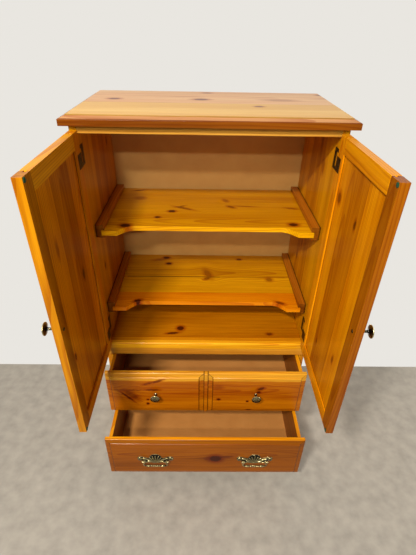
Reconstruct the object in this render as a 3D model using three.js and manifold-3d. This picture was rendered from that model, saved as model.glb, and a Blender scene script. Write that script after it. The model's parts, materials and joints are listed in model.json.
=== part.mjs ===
// A tall pine television armoire: two panelled doors standing open over two part-open drawers.
// Millimetres, +X to the right, +Y to the back, +Z up. The origin is on the floor, under the
// middle of the base rail. Inside the cabinet group, Y = 0 is the front edge of the two sides.
import * as THREE from "three";
import { mergeVertices } from "three/addons/utils/BufferGeometryUtils.js";
import Module from "manifold-3d";

const wasm = await Module();
wasm.setup();

// General fits
const seatGap = 0.3; // left between two pieces that rest on each other
const reveal = 4.5; // shadow gap between the doors
const frontGap = 4.5; // above, between and below the drawer fronts
const overrun = 1; // how far a cutting or joining shape runs past the face it meets

// Carcass
const carcassWidth = 740;
const carcassDepth = 398;
const carcassHeight = 1308; // floor to the underside of the top
const sideThickness = 19;
const topRailHeight = 22;
const topRailThickness = 19;
const backThickness = 3.2; // hardboard
const backSetIn = 0.8; // rear face of the back panel, inside the rear edges of the sides
const backRebateWidth = 9.5;
const backFloorClearance = 20;

// Top: boards framed on three edges by a mitred moulding
const topOverhangSide = 20;
const topOverhangFront = 20;
const topOverhangBack = 2;
const topThickness = 26.3;
const topMouldingWidth = 17;
const mouldingFaceHeight = 15.5;
const mouldingNoseRadius = 1.8;
const mouldingQuirk = 2.8; // height of the little step up to the flat of the top

// Base
const plinthHeight = 81.5;
const plinthThickness = 19;
const baseRailThickness = 19;

// Fronts: everything in front of the carcass stands proud of it
const frontEndInset = 9; // ends of plinth, apron and nosing, in from the outer faces of the sides
const drawerEndInset = 10.5; // ends of the drawer fronts, in from the same faces
const frontThickness = 19;
const drawerFrontHeight = 203.5;
const edgeMouldingWidth = 17.5;
const edgeChamfer = 2.2;
const fieldStep = 3; // from the raised field down to the sloping band
const fieldRound = 2.4; // eased edge of the raised field
const bandDrop = 2.8; // fall of the sloping band
const falseStripWidth = 14.3; // flat strip between the two false fronts of the upper drawer
const falseStripDrop = 1.5; // strip below the raised fields
const falseStripFoot = 4.5; // slope under the foot of the strip

// Deck above the drawers
const deckThickness = 24.5;
const nosingSetBack = 4.5; // front of the nosing behind the drawer fronts
const nosingRadius = 6.5;
const apronHeight = 31.5;
const apronSetBack = 2; // front of the apron behind the front of the nosing

// Drawer boxes
const upperDrawerOpening = 90.6; // how far the upper drawer stands out
const lowerDrawerOpening = 212.5;
const boxSideGap = 4.5; // between a box and the side of the cabinet
const boxLength = 380;
const boxBottomRise = 24; // lower edges of the box above the lower edge of its front
const boxSideThickness = 12;
const boxBackThickness = 12;
const boxTopDrop = 4; // top edges of the box below the top of its front
const boxBottomThickness = 3.2; // hardboard
const boxGrooveHeight = 10; // groove above the lower edge of the box side
const boxGrooveDepth = 5;
const boxGrooveWidth = 4;

// Drawer runners
const drawerRunnerWidth = 30;
const drawerRunnerHeight = 22;
const drawerRunnerSetBack = 3; // behind the front edge of the side
const runnerBackGap = 4; // between a runner and the back panel

// Shelves and their grooved runners
const lowerShelfRise = 117; // top of the deck to the underside of the lower shelf
const upperShelfDrop = 335; // top of the carcass to the underside of the upper shelf
const shelfThickness = 16;
const shelfRunnerWidth = 27;
const shelfRunnerLip = 9; // wood below the groove
const shelfRunnerCap = 16; // wood above the groove
const shelfRunnerSetBack = 28;
const shelfGrooveDepth = 9;
const shelfGrooveSideGap = 1;
const shelfGroovePlay = 0.6; // spare height in the groove
const shelfEarSetBack = 24; // front of the shelf's two ears behind the front edge of the sides
const shelfMiddleSetBack = 61;
const shelfEarWidth = 46;
const shelfCurveWidth = 56;
const shelfCornerShares = [0.3, 0.42]; // first handle of the curve, so that it leaves the ear at a corner
const shelfBackGap = 2;

// Doors
const doorBottomGap = 2;
const doorTopDrop = 8; // top of the doors below the top of the carcass
const doorEndInset = 0.5; // hinge end of a closed door, in from the end of the nosing
const doorThickness = 20.5;
const doorAngle = Math.PI / 2; // how far the doors stand open
const stileWidth = 40;
const railWidth = 40;
const panelGrooveDepth = 8;
const panelTongueThickness = 6;
const panelTongueSideGap = 0.8;
const panelRecess = 5.5; // flat back of the panel below the back of the frame
const panelBevelWidth = 30;
const panelFieldRise = 5.5; // raised field above the tongue
const panelFieldEdge = 1; // upright edge round the raised field
const stickingChamfer = 4; // chamfer on the inner front edge of the frame

// Butt hinges that wrap the side and the door
const hingeMetal = 0.9;
const hingeHeight = 57;
const hingeLeafHeight = 38;
const hingeLeafWidth = 30;
const hingeBarSetBack = 18; // upright bar on the inner face of the side, behind its front edge
const hingeBarWidth = 16;
const hingeFromEnd = 62.5; // lower hinge centre above the door's foot
const upperHingeFromEnd = 75; // upper hinge centre below the door's head
const barrelRadius = 2.4;
const pinRadius = 1.1;

// Knobs
const knobRadius = 17;
const knobLength = 29;
const doorKnobInset = 17.5; // from the free edge of the door
const knobProfileShares = [
  [0.34, 0], [0.33, 0.05], [0.23, 0.12], [0.2, 0.24], [0.2, 0.5], [0.26, 0.62], [0.5, 0.7],
  [0.86, 0.75], [0.98, 0.78], [1, 0.82], [0.95, 0.86], [0.74, 0.92], [0.4, 0.98], [0, 1],
];

// Bail pulls
const pullSpacing = 366.5; // between the centres of the two handles on a drawer
const pullAxisDrop = 4; // hinge line of the bail below the middle of the front
const plateHalfWidth = 67;
const plateHeight = 54;
const plateThickness = 2.6;
const plateOutlineShares = [
  [0, 0.56], [0.13, 0.53], [0.24, 0.45], [0.31, 0.32], [0.34, 0.18], [0.4, 0.1], [0.48, 0.14],
  [0.6, 0.2], [0.74, 0.26], [0.87, 0.28], [0.97, 0.2], [1, 0.06], [0.95, -0.08], [0.84, -0.15],
  [0.7, -0.14], [0.63, -0.2], [0.56, -0.32], [0.46, -0.36], [0.34, -0.36], [0.18, -0.44], [0, -0.47],
];
const postSpacing = 90;
const postRadius = 2.8;
const postBallRadius = 4.5;
const postLength = 12.5; // from the drawer front to the hinge line of the bail
const bailWireRadius = 2;
const bailDrop = 25;
const bailPinRadius = 1.6;
const gripHalfLength = 33;
const gripRadius = 4.2;
const bailPathShares = [
  [1, 0], [1, -0.18], [0.99, -0.42], [0.93, -0.68], [0.8, -0.9], [0.64, -1], [0.32, -1],
];
const gripProfileShares = [
  [0.44, -1], [0.62, -0.93], [0.92, -0.76], [0.94, -0.66], [0.6, -0.44], [0.5, -0.38],
  [0.8, -0.3], [0.8, -0.24], [0.5, -0.17], [0.6, -0.13], [1, -0.04],
];

// Finishes
const topPine = new THREE.MeshStandardMaterial({ color: "#e6ba7c", roughness: 0.3, metalness: 0 });
const edgePine = new THREE.MeshStandardMaterial({ color: "#c47a3c", roughness: 0.3, metalness: 0 });
const pine = new THREE.MeshStandardMaterial({ color: "#b06a14", roughness: 0.35, metalness: 0 });
const brownWood = new THREE.MeshStandardMaterial({ color: "#704818", roughness: 0.45, metalness: 0 });
const runnerWood = new THREE.MeshStandardMaterial({ color: "#7c4020", roughness: 0.4, metalness: 0 });
const hardboard = new THREE.MeshStandardMaterial({ color: "#b07a45", roughness: 0.6, metalness: 0 });
const brass = new THREE.MeshStandardMaterial({ color: "#8a7440", roughness: 0.35, metalness: 1 });
const bronze = new THREE.MeshStandardMaterial({ color: "#4a3a26", roughness: 0.45, metalness: 1 });

// A three.js geometry as a manifold-3d solid, to be joined or cut
function solidOf(geometry) {
  const bare = geometry.index ? geometry.toNonIndexed() : geometry.clone();
  bare.deleteAttribute("normal");
  bare.deleteAttribute("uv");
  const merged = mergeVertices(bare);
  return new wasm.Manifold(
    new wasm.Mesh({
      numProp: 3,
      vertProperties: merged.attributes.position.array,
      triVerts: new Uint32Array(merged.index.array),
    }),
  );
}

// A manifold-3d solid back as a three.js geometry
function geometryOf(solid) {
  const mesh = solid.getMesh();
  const geometry = new THREE.BufferGeometry();
  geometry.setAttribute("position", new THREE.BufferAttribute(mesh.vertProperties, 3));
  geometry.setIndex(new THREE.BufferAttribute(mesh.triVerts, 1));
  const faceted = geometry.toNonIndexed();
  faceted.computeVertexNormals();
  return faceted;
}

const joined = (shapes) => geometryOf(shapes.map(solidOf).reduce((a, b) => a.add(b)));
const cut = (shape, cutter) => geometryOf(solidOf(shape).subtract(solidOf(cutter)));

function add(parent, name, finish, geometry) {
  const mesh = new THREE.Mesh(geometry, finish);
  mesh.name = name;
  parent.add(mesh);
  return mesh;
}

// A board between two faces along each axis
function addBoard(parent, name, finish, [x0, x1], [y0, y1], [z0, z1]) {
  const mesh = add(parent, name, finish, new THREE.BoxGeometry(x1 - x0, y1 - y0, z1 - z0));
  mesh.position.set((x0 + x1) / 2, (y0 + y1) / 2, (z0 + z1) / 2);
}

// The same board as a geometry in place, for joining and cutting
function block([x0, x1], [y0, y1], [z0, z1]) {
  const box = new THREE.BoxGeometry(x1 - x0, y1 - y0, z1 - z0);
  return box.translate((x0 + x1) / 2, (y0 + y1) / 2, (z0 + z1) / 2);
}

// A board whose front face is drawn in by the same inset on its four edges
function taperedBlock(x, y, z, inset) {
  const shape = block(x, y, z);
  const corner = shape.attributes.position;
  const middleY = (y[0] + y[1]) / 2;
  for (let i = 0; i < corner.count; i += 1) {
    if (corner.getY(i) > middleY) continue;
    const inX = corner.getX(i) > (x[0] + x[1]) / 2 ? -inset : inset;
    const inZ = corner.getZ(i) > (z[0] + z[1]) / 2 ? -inset : inset;
    corner.setXYZ(i, corner.getX(i) + inX, corner.getY(i), corner.getZ(i) + inZ);
  }
  return shape;
}

const X = new THREE.Vector3(1, 0, 0);
const Y = new THREE.Vector3(0, 1, 0);
const Z = new THREE.Vector3(0, 0, 1);

// A section drawn along two axes and run out along the third, from one place to another
function sweep(section, across, up, [from, to]) {
  const shape = section instanceof THREE.Shape ? section : new THREE.Shape(section);
  const geometry = new THREE.ExtrudeGeometry(shape, { depth: to - from, bevelEnabled: false });
  const along = new THREE.Vector3().crossVectors(across, up);
  geometry.applyMatrix4(new THREE.Matrix4().makeBasis(across, up, along));
  return geometry.translate(...along.multiplyScalar(from).toArray());
}

const outline = (pairs) => pairs.map(([a, b]) => new THREE.Vector2(a, b));

// A turned shape whose axis runs from the origin towards -Y, as a knob on a front
function turned(profile, segments) {
  return new THREE.LatheGeometry(outline(profile), segments).rotateX(Math.PI);
}

const armoire = new THREE.Group();
const cabinet = new THREE.Group();
cabinet.position.y = -baseRailThickness / 2;
armoire.add(cabinet);

// A group for the left half, or its mirror image for the right half
function half(parent, side) {
  const group = new THREE.Group();
  group.scale.x = side === "left" ? 1 : -1;
  parent.add(group);
  return group;
}
const halves = ["left", "right"];

// Levels and faces that several pieces share
const outerX = carcassWidth / 2;
const innerX = outerX - sideThickness;
const backFaceY = carcassDepth - backThickness - backSetIn;
const frontStandoff = hingeMetal + 2 * seatGap; // hinge metal between the fronts and the carcass
const frontY = -frontStandoff - frontThickness;
const frontX = outerX - frontEndInset;
const drawerX = outerX - drawerEndInset;
const lowerFrontZ = plinthHeight + frontGap;
const upperFrontZ = lowerFrontZ + drawerFrontHeight + frontGap;
const apronZ = upperFrontZ + drawerFrontHeight + frontGap;
const deckZ = apronZ + apronHeight;
const deckTopZ = deckZ + deckThickness;
const doorZ = deckTopZ + doorBottomGap;
const doorTopZ = carcassHeight - doorTopDrop;
const innerSpan = [-innerX + seatGap, innerX - seatGap];

// Sides, each rebated along its rear inner edge for the back panel
for (const side of halves) {
  const section = outline([
    [-outerX, 0], [-innerX, 0], [-innerX, backFaceY - seatGap],
    [-innerX - backRebateWidth, backFaceY - seatGap],
    [-innerX - backRebateWidth, carcassDepth], [-outerX, carcassDepth],
  ]);
  add(half(cabinet, side), "side_" + side, pine, sweep(section, X, Y, [0, carcassHeight - seatGap]));
}

const backX = innerX + backRebateWidth - seatGap;
addBoard(
  cabinet, "back_panel", hardboard,
  [-backX, backX], [backFaceY, backFaceY + backThickness], [backFloorClearance, carcassHeight - seatGap],
);
addBoard(
  cabinet, "top_rail", pine,
  innerSpan, [0, topRailThickness], [carcassHeight - topRailHeight, carcassHeight - seatGap],
);
addBoard(cabinet, "base_rail", brownWood, innerSpan, [0, baseRailThickness], [0, plinthHeight]);
addBoard(
  cabinet, "plinth", pine,
  [-frontX, frontX], [-seatGap - plinthThickness, -seatGap], [0, plinthHeight],
);

// Deck: the floor of the upper compartment, with its rounded nosing and the apron under it
addBoard(cabinet, "deck", pine, innerSpan, [0, backFaceY - seatGap], [deckZ, deckTopZ]);
const nosingY = frontY + nosingSetBack;
const nosing = new THREE.Shape();
nosing.moveTo(-seatGap, deckZ);
nosing.lineTo(nosingY, deckZ);
nosing.lineTo(nosingY, deckTopZ - nosingRadius);
nosing.absarc(nosingY + nosingRadius, deckTopZ - nosingRadius, nosingRadius, Math.PI, Math.PI / 2, true);
nosing.lineTo(-seatGap, deckTopZ);
add(cabinet, "deck_nosing", pine, sweep(nosing, Y, Z, [-frontX, frontX]));
addBoard(
  cabinet, "deck_apron", brownWood,
  [-frontX, frontX], [nosingY + apronSetBack, -seatGap], [apronZ, deckZ - seatGap],
);

// Top: the boards, and the moulding section as distance in from the outer face and height
const topX = outerX + topOverhangSide;
const topFrontY = -topOverhangFront;
const topBackY = carcassDepth + topOverhangBack;
const topTopZ = carcassHeight + topThickness;
addBoard(
  cabinet, "top_panel", topPine,
  [-topX + topMouldingWidth, topX - topMouldingWidth], [topFrontY + topMouldingWidth, topBackY],
  [carcassHeight, topTopZ],
);
const mouldingInner = topMouldingWidth - seatGap;
const noseZ = carcassHeight + mouldingFaceHeight;
const moulding = new THREE.Shape();
moulding.moveTo(mouldingInner, carcassHeight);
moulding.lineTo(0, carcassHeight);
moulding.lineTo(0, noseZ);
moulding.absarc(mouldingNoseRadius, noseZ, mouldingNoseRadius, Math.PI, Math.PI / 2, true);
moulding.lineTo(mouldingInner, topTopZ - mouldingQuirk);
const frontMoulding = sweep(moulding, Y, Z, [-topX, topX]);
frontMoulding.translate(0, topFrontY, 0);
for (let i = 0, corner = frontMoulding.attributes.position; i < corner.count; i += 1) {
  const mitre = corner.getY(i) - topFrontY;
  corner.setX(i, corner.getX(i) - Math.sign(corner.getX(i)) * mitre);
}
add(cabinet, "top_moulding_front", edgePine, frontMoulding);
for (const side of halves) {
  const strip = sweep(moulding, X, Z, [-topBackY, -topFrontY]);
  strip.translate(-topX, 0, 0);
  for (let i = 0, corner = strip.attributes.position; i < corner.count; i += 1) {
    if (corner.getY(i) > 0) continue;
    corner.setY(i, corner.getY(i) + corner.getX(i) + topX + 2 * seatGap);
  }
  add(half(cabinet, side), "top_moulding_" + side, edgePine, strip);
}

// Shelves, held by their edges in grooved runners
const shelfLevels = [
  ["lower", deckTopZ + lowerShelfRise],
  ["upper", carcassHeight - upperShelfDrop],
];
for (const [level, shelfZ] of shelfLevels) {
  const shelfX = innerX - shelfRunnerWidth + shelfGrooveDepth - shelfGrooveSideGap;
  const earX = shelfX - shelfEarWidth;
  const curveX = earX - shelfCurveWidth;
  const curveMiddleX = (earX + curveX) / 2;
  const cornerX = earX - shelfCornerShares[0] * shelfCurveWidth;
  const cornerY = shelfEarSetBack + shelfCornerShares[1] * (shelfMiddleSetBack - shelfEarSetBack);
  const shelfBackY = backFaceY - shelfBackGap;
  const shelf = new THREE.Shape();
  shelf.moveTo(-shelfX, shelfBackY);
  shelf.lineTo(-shelfX, shelfEarSetBack);
  shelf.lineTo(-earX, shelfEarSetBack);
  shelf.bezierCurveTo(
    -cornerX, cornerY, -curveMiddleX, shelfMiddleSetBack, -curveX, shelfMiddleSetBack,
  );
  shelf.lineTo(curveX, shelfMiddleSetBack);
  shelf.bezierCurveTo(
    curveMiddleX, shelfMiddleSetBack, cornerX, cornerY, earX, shelfEarSetBack,
  );
  shelf.lineTo(shelfX, shelfEarSetBack);
  shelf.lineTo(shelfX, shelfBackY);
  add(cabinet, level + "_shelf", pine, sweep(shelf, X, Y, [shelfZ, shelfZ + shelfThickness]));

  const runnerInX = innerX - shelfRunnerWidth;
  const grooveX = runnerInX + shelfGrooveDepth;
  const grooveZ = shelfZ - seatGap;
  const grooveTopZ = shelfZ + shelfThickness + shelfGroovePlay;
  const section = outline([
    [-innerX + seatGap, grooveZ - shelfRunnerLip], [-runnerInX, grooveZ - shelfRunnerLip],
    [-runnerInX, grooveZ], [-grooveX, grooveZ], [-grooveX, grooveTopZ], [-runnerInX, grooveTopZ],
    [-runnerInX, grooveTopZ + shelfRunnerCap], [-innerX + seatGap, grooveTopZ + shelfRunnerCap],
  ]);
  for (const side of halves) {
    const runner = sweep(section, X, Z, [-backFaceY + runnerBackGap, -shelfRunnerSetBack]);
    add(half(cabinet, side), level + "_shelf_runner_" + side, runnerWood, runner);
  }
}

// A front with a sloping band and a raised field: the field's outer corner places it
function fieldedFace(x, z) {
  const bandY = frontY + fieldStep + bandDrop;
  const stepY = frontY + fieldStep;
  const bandX = [x[0] + edgeChamfer, x[1] - edgeChamfer];
  const bandZ = [z[0] + edgeChamfer, z[1] - edgeChamfer];
  const bandRun = edgeMouldingWidth - edgeChamfer;
  const fieldX = [x[0] + edgeMouldingWidth, x[1] - edgeMouldingWidth];
  const fieldZ = [z[0] + edgeMouldingWidth, z[1] - edgeMouldingWidth];
  return [
    taperedBlock(x, [bandY, bandY + edgeChamfer], z, edgeChamfer),
    taperedBlock(bandX, [stepY, bandY], bandZ, bandRun),
    taperedBlock(fieldX, [frontY, frontY + fieldRound], fieldZ, fieldRound),
    block(fieldX, [frontY + fieldRound, bandY], fieldZ),
    block(bandX, [bandY, bandY + edgeChamfer], bandZ),
  ];
}

function knob() {
  const profile = [[0, 0], ...knobProfileShares.map(([r, h]) => [r * knobRadius, h * knobLength])];
  return turned(profile, 20);
}

// Drawers, modelled shut inside a group that stands part-way out
function addDrawer(level, frontZ, opening) {
  const drawer = new THREE.Group();
  drawer.position.y = -opening;
  cabinet.add(drawer);
  const frontTopZ = frontZ + drawerFrontHeight;
  const z = [frontZ, frontTopZ];
  const bandZ = [frontZ + edgeChamfer, frontTopZ - edgeChamfer];
  const bandY = frontY + fieldStep + bandDrop;
  const middleY = frontY + frontThickness / 2;
  const slab = block([-drawerX, drawerX], [bandY + edgeChamfer, -frontStandoff], z);
  const stripX = falseStripWidth / 2;
  const stripY = frontY + falseStripDrop;
  const strip = outline([
    [stripY, frontZ + falseStripFoot], [stripY, frontTopZ - edgeChamfer], [stripY + edgeChamfer, frontTopZ],
    [middleY, frontTopZ], [middleY, frontZ], [stripY + falseStripFoot, frontZ],
  ]);
  const faces =
    level === "upper"
      ? [
          ...fieldedFace([-drawerX, -stripX], z),
          ...fieldedFace([stripX, drawerX], z),
          block([-stripX - edgeChamfer, stripX + edgeChamfer], [bandY, middleY], bandZ),
          sweep(strip, Y, Z, [-stripX, stripX]),
        ]
      : fieldedFace([-drawerX, drawerX], z);
  add(drawer, level + "_drawer_front", pine, joined([slab, ...faces]));

  const boxX = innerX - boxSideGap;
  const boxTopZ = frontTopZ - boxTopDrop;
  const boxZ = frontZ + boxBottomRise;
  const boxY = [-frontStandoff + seatGap, -frontStandoff + boxLength];
  const boxInX = boxX - boxSideThickness;
  const grooveZ = boxZ + boxGrooveHeight;
  const section = outline([
    [-boxX, boxZ], [-boxInX, boxZ], [-boxInX, grooveZ], [-boxInX - boxGrooveDepth, grooveZ],
    [-boxInX - boxGrooveDepth, grooveZ + boxGrooveWidth], [-boxInX, grooveZ + boxGrooveWidth],
    [-boxInX, boxTopZ], [-boxX, boxTopZ],
  ]);
  for (const side of halves) {
    const boxSide = sweep(section, X, Z, [-boxY[1], -boxY[0]]);
    add(half(drawer, side), level + "_drawer_side_" + side, pine, boxSide);
  }
  const bottomX = boxInX + boxGrooveDepth - seatGap;
  const bottomZ = grooveZ + seatGap;
  addBoard(
    drawer, level + "_drawer_bottom", hardboard,
    [-bottomX, bottomX], boxY, [bottomZ, bottomZ + boxBottomThickness],
  );
  addBoard(
    drawer, level + "_drawer_back", pine,
    [-boxInX + seatGap, boxInX - seatGap], [boxY[1] - boxBackThickness, boxY[1]],
    [grooveZ + boxGrooveWidth, boxTopZ],
  );

  const runnerX = [-innerX + seatGap, -innerX + drawerRunnerWidth];
  for (const side of halves) {
    addBoard(
      half(cabinet, side), level + "_drawer_runner_" + side, runnerWood,
      runnerX, [drawerRunnerSetBack, backFaceY - runnerBackGap], [boxZ - drawerRunnerHeight, boxZ - seatGap],
    );
  }
  return drawer;
}
const upperDrawer = addDrawer("upper", upperFrontZ, upperDrawerOpening);
const lowerDrawer = addDrawer("lower", lowerFrontZ, lowerDrawerOpening);

for (const side of halves) {
  const mesh = add(half(upperDrawer, side), "upper_drawer_knob_" + side, brass, knob());
  mesh.position.set(-pullSpacing / 2, frontY - seatGap, upperFrontZ + drawerFrontHeight / 2);
}

// Bail pulls of the lower drawer: a cast plate with two posts, and a swinging bail pinned in them
function pullPlate() {
  const points = plateOutlineShares.map(([x, z]) => [x * plateHalfWidth, z * plateHeight]);
  const mirrored = points.slice(1, -1).reverse().map(([x, z]) => [-x, z]);
  const plate = sweep(outline([...points, ...mirrored]), X, Z, [seatGap, plateThickness]);
  const shapes = [plate];
  for (const sign of [-1, 1]) {
    const post = new THREE.CylinderGeometry(postRadius, postRadius, postLength - seatGap, 12);
    post.translate((sign * postSpacing) / 2, -(postLength + seatGap) / 2, 0);
    const ball = new THREE.SphereGeometry(postBallRadius, 16, 10);
    ball.translate((sign * postSpacing) / 2, -postLength, 0);
    shapes.push(post, ball);
  }
  const bore = new THREE.CylinderGeometry(bailPinRadius + seatGap, bailPinRadius + seatGap, 1, 16);
  bore.scale(1, postSpacing + 4 * postBallRadius, 1).rotateZ(Math.PI / 2).translate(0, -postLength, 0);
  return cut(joined(shapes), bore);
}

function bail() {
  const armX = postSpacing / 2 - postBallRadius - seatGap - bailWireRadius;
  const rightArm = bailPathShares.map(([x, z]) => new THREE.Vector3(x * armX, 0, z * bailDrop));
  const leftArm = rightArm.map((p) => new THREE.Vector3(-p.x, p.y, p.z)).reverse();
  const path = new THREE.CatmullRomCurve3([...rightArm, ...leftArm]);
  const ring = [];
  for (let i = 0; i < 8; i += 1) {
    const turn = (i / 8) * 2 * Math.PI;
    ring.push([bailWireRadius * Math.cos(turn), bailWireRadius * Math.sin(turn)]);
  }
  const wire = new THREE.ExtrudeGeometry(new THREE.Shape(outline(ring)), { steps: 36, extrudePath: path });
  const rising = gripProfileShares.map(([r, x]) => [r * gripRadius, x * gripHalfLength]);
  const falling = rising.map(([r, x]) => [r, -x]).reverse();
  const gripProfile = [[0, -gripHalfLength], ...rising, ...falling, [0, gripHalfLength]];
  const grip = new THREE.LatheGeometry(outline(gripProfile), 12);
  grip.rotateZ(Math.PI / 2).translate(0, 0, -bailDrop);
  const shapes = [wire, grip];
  for (const sign of [-1, 1]) {
    const reach = postSpacing / 2 + postBallRadius + overrun - armX;
    const pin = new THREE.CylinderGeometry(bailPinRadius, bailPinRadius, reach, 12).rotateZ(Math.PI / 2);
    pin.translate(sign * (armX + reach / 2), 0, 0);
    const knuckle = new THREE.SphereGeometry(bailWireRadius + seatGap / 2, 12, 8);
    knuckle.translate(sign * armX, 0, 0);
    shapes.push(pin, knuckle);
  }
  return joined(shapes);
}

for (const side of halves) {
  const pull = half(lowerDrawer, side);
  const axisZ = lowerFrontZ + drawerFrontHeight / 2 - pullAxisDrop;
  add(pull, side + "_pull_plate", brass, pullPlate()).position.set(-pullSpacing / 2, frontY, axisZ);
  add(pull, side + "_pull_bail", brass, bail()).position.set(-pullSpacing / 2, frontY - postLength, axisZ);
}

// Doors, each modelled shut about its hinge pin inside a group that is turned open
const cornerToPin = (barrelRadius + seatGap) * Math.SQRT1_2; // pin out from the door's front corner
const hingeEndX = frontX - doorEndInset;
const pinX = hingeEndX + cornerToPin;
const pinY = -frontStandoff - doorThickness - cornerToPin;

// The frame of a door: a section with the panel's groove in its inner edge and a small chamfer
function frameSection(width) {
  const tongueBack = doorThickness - panelRecess;
  const tongueFront = tongueBack - panelTongueThickness;
  return [
    [0, 0], [width - stickingChamfer, 0], [width, stickingChamfer], [width, tongueFront - seatGap],
    [width - panelGrooveDepth, tongueFront - seatGap], [width - panelGrooveDepth, tongueBack + seatGap],
    [width, tongueBack + seatGap], [width, doorThickness], [0, doorThickness],
  ];
}

function addDoor(side) {
  const door = new THREE.Group();
  door.position.set(-pinX, pinY, 0);
  door.rotation.z = -doorAngle;
  half(cabinet, side).add(door);

  const endX = cornerToPin;
  const freeX = pinX - reveal / 2;
  const faceY = cornerToPin;
  const place = (points, flip, x, y) => outline(points.map(([u, v]) => [x + flip * u, y + v]));
  const stile = frameSection(stileWidth);
  const hingeStile = sweep(place(stile, 1, endX, faceY), X, Y, [doorZ, doorTopZ]);
  const freeStile = sweep(place(stile, -1, freeX, faceY), X, Y, [doorZ, doorTopZ]);
  add(door, side + "_door_hinge_stile", pine, hingeStile);
  add(door, side + "_door_free_stile", pine, freeStile);

  const railSpan = [endX + stileWidth + seatGap, freeX - stileWidth - seatGap];
  const rail = frameSection(railWidth).map(([u, v]) => [v, u]);
  const bottomRail = rail.map(([v, u]) => [faceY + v, doorZ + u]);
  const topRail = rail.map(([v, u]) => [faceY + v, doorTopZ - u]);
  add(door, side + "_door_bottom_rail", pine, sweep(outline(bottomRail), Y, Z, railSpan));
  add(door, side + "_door_top_rail", pine, sweep(outline(topRail), Y, Z, railSpan));

  const reach = panelGrooveDepth - panelTongueSideGap;
  const tongueX = [endX + stileWidth - reach, freeX - stileWidth + reach];
  const tongueZ = [doorZ + railWidth - reach, doorTopZ - railWidth + reach];
  const bevelX = [tongueX[0] + reach + seatGap, tongueX[1] - reach - seatGap];
  const bevelZ = [tongueZ[0] + reach + seatGap, tongueZ[1] - reach - seatGap];
  const fieldX = [bevelX[0] + panelBevelWidth, bevelX[1] - panelBevelWidth];
  const fieldZ = [bevelZ[0] + panelBevelWidth, bevelZ[1] - panelBevelWidth];
  const panelBackY = faceY + doorThickness - panelRecess;
  const tongueY = panelBackY - panelTongueThickness;
  const bevelY = [tongueY - panelFieldRise + panelFieldEdge, tongueY + panelTongueThickness / 2];
  add(door, side + "_door_panel", pine, joined([
    block(tongueX, [tongueY, panelBackY], tongueZ),
    taperedBlock(bevelX, [bevelY[0], tongueY], bevelZ, panelBevelWidth),
    block(fieldX, [tongueY - panelFieldRise, bevelY[1]], fieldZ),
  ]));

  const knobMesh = add(door, side + "_door_knob", brass, knob());
  knobMesh.position.set(freeX - doorKnobInset, faceY - seatGap, (doorZ + doorTopZ) / 2);
  return door;
}

function barrel(radius, [z0, z1], sides) {
  const cylinder = new THREE.CylinderGeometry(radius, radius, z1 - z0, sides).rotateX(Math.PI / 2);
  return cylinder.translate(0, 0, (z0 + z1) / 2);
}

// The leaf on the door: a plate on the door's back, a return along its hinge end and the middle knuckle
function doorLeaf() {
  const z = [-hingeLeafHeight / 2, hingeLeafHeight / 2];
  const returnX = [cornerToPin - seatGap - hingeMetal, cornerToPin - seatGap];
  const doorBackY = cornerToPin + doorThickness;
  const plateY = [doorBackY + seatGap, doorBackY + seatGap + hingeMetal];
  const shape = joined([
    barrel(barrelRadius, z, 16),
    block(returnX, [0, plateY[1]], z),
    block([returnX[0], returnX[0] + hingeLeafWidth], plateY, z),
  ]);
  return cut(shape, barrel(pinRadius + seatGap, [z[0] - overrun, z[1] + overrun], 12));
}

// The leaf on the side, about the pin: two knuckles on the pin, each with a web back to the front
// edge of the side and a strap round it, and the upright bar that joins the straps inside
function frameLeaf() {
  const edgeY = -pinY;
  const insideX = pinX - innerX;
  const strapX = [insideX + seatGap, insideX + seatGap + hingeMetal];
  const strapY = [edgeY - seatGap - hingeMetal, edgeY - seatGap];
  const barY = [edgeY + hingeBarSetBack, edgeY + hingeBarSetBack + hingeBarWidth];
  const shapes = [
    barrel(pinRadius, [-hingeHeight / 2, hingeHeight / 2], 12),
    block(strapX, barY, [-hingeHeight / 2, hingeHeight / 2]),
  ];
  for (const sign of [-1, 1]) {
    const ends = [sign * (hingeLeafHeight / 2 + seatGap), (sign * hingeHeight) / 2];
    const z = ends.sort((a, b) => a - b);
    shapes.push(
      barrel(barrelRadius, z, 16),
      block([-hingeMetal / 2, hingeMetal / 2], [0, strapY[1]], z),
      block([-hingeMetal / 2, strapX[1]], strapY, z),
      block(strapX, [strapY[0], barY[1]], z),
    );
  }
  return joined(shapes);
}

for (const side of halves) {
  const door = addDoor(side);
  for (const [level, z] of [["lower", doorZ + hingeFromEnd], ["upper", doorTopZ - upperHingeFromEnd]]) {
    add(door, side + "_" + level + "_hinge_door_leaf", bronze, doorLeaf()).position.z = z;
    const leaf = add(half(cabinet, side), side + "_" + level + "_hinge_frame_leaf", bronze, frameLeaf());
    leaf.position.set(-pinX, pinY, z);
  }
}

export default armoire;
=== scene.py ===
import json
import math

import bmesh
import bpy
from mathutils import Matrix, Vector


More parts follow.
